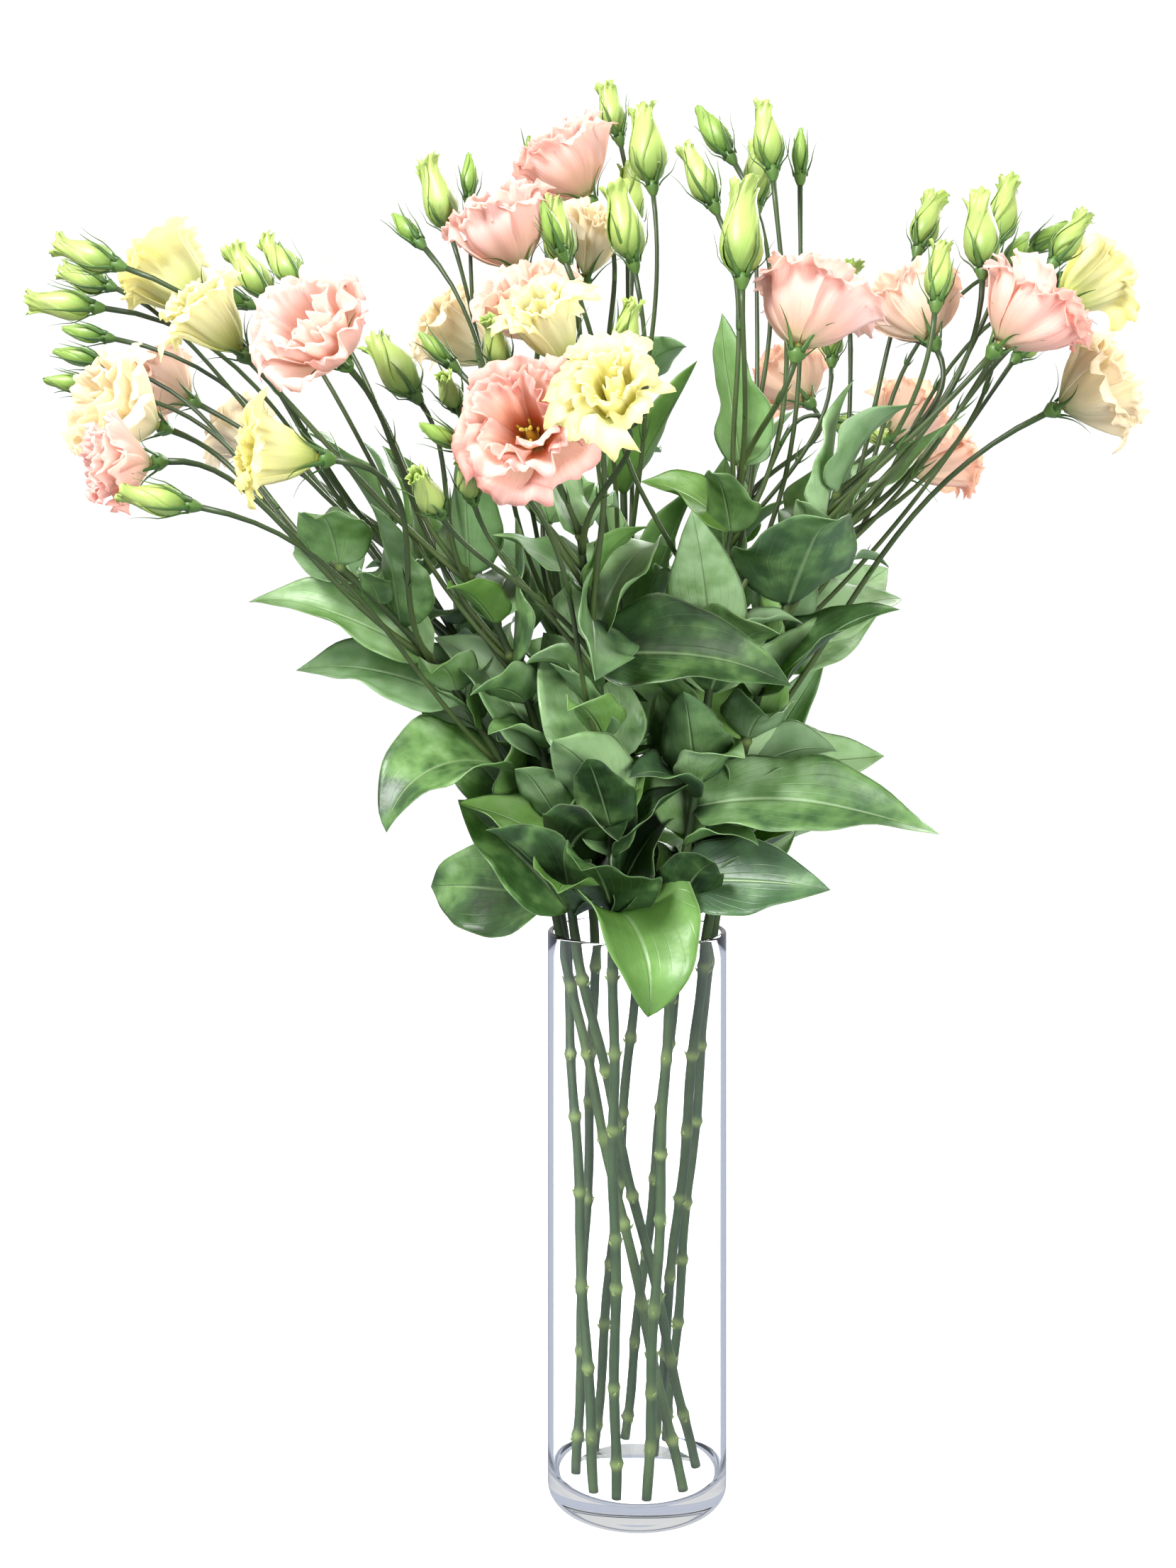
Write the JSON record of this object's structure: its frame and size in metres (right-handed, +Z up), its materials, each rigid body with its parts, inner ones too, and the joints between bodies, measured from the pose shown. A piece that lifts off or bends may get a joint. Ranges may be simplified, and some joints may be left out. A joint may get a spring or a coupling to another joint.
{
  "type": "vase of lisianthus",
  "caption": "Bunch of double lisianthus with ruffled blooms, twisted buds and broad leaves, standing in a clear glass cylinder vase.",
  "frame": {"origin": "centre of the vase's underside, on the surface that it stands on", "axes": "+Z up along the vase's axis; the picture is taken looking along +Y, with +X to the right"},
  "size_m": [0.6382, 0.427, 0.8108],
  "materials": {
    "glass": "clear polished glass",
    "green": "matt grey-green stems, leaves, cups and buds",
    "pink": "soft satin petals, pale pink with deeper frilled edges",
    "blush": "soft satin petals, pale peach",
    "cream": "soft satin petals, cream",
    "yellow": "soft satin petals, pale yellow"
  },
  "bodies": {
    "root": {"vase": "glass", "stem_01": "green", "stem_02": "green", "stem_03": "green", "stem_04": "green", "stem_05": "green", "stem_06": "green", "stem_07": "green", "stem_08": "green", "stem_09": "green", "stem_10": "green", "bloom_01_pink": "pink", "bloom_02_yellow": "yellow", "bloom_03_cream": "cream", "bloom_04_blush": "blush", "bloom_05_yellow": "yellow", "bloom_06_cream": "cream", "bloom_07_pink": "pink", "bloom_08_yellow": "yellow", "bloom_09_pink": "pink", "bloom_10_yellow": "yellow", "bloom_11_yellow": "yellow", "bloom_12_pink": "pink", "bloom_13_blush": "blush", "bloom_14_cream": "cream", "bloom_15_pink": "pink", "bloom_16_cream": "cream", "bloom_17_pink": "pink", "bloom_18_blush": "blush", "bloom_19_pink": "pink", "bloom_20_cream": "cream", "bloom_21_yellow": "yellow", "bloom_22_blush": "blush", "bloom_23_blush": "blush", "bloom_24_blush": "blush"}
  },
  "joints": []
}
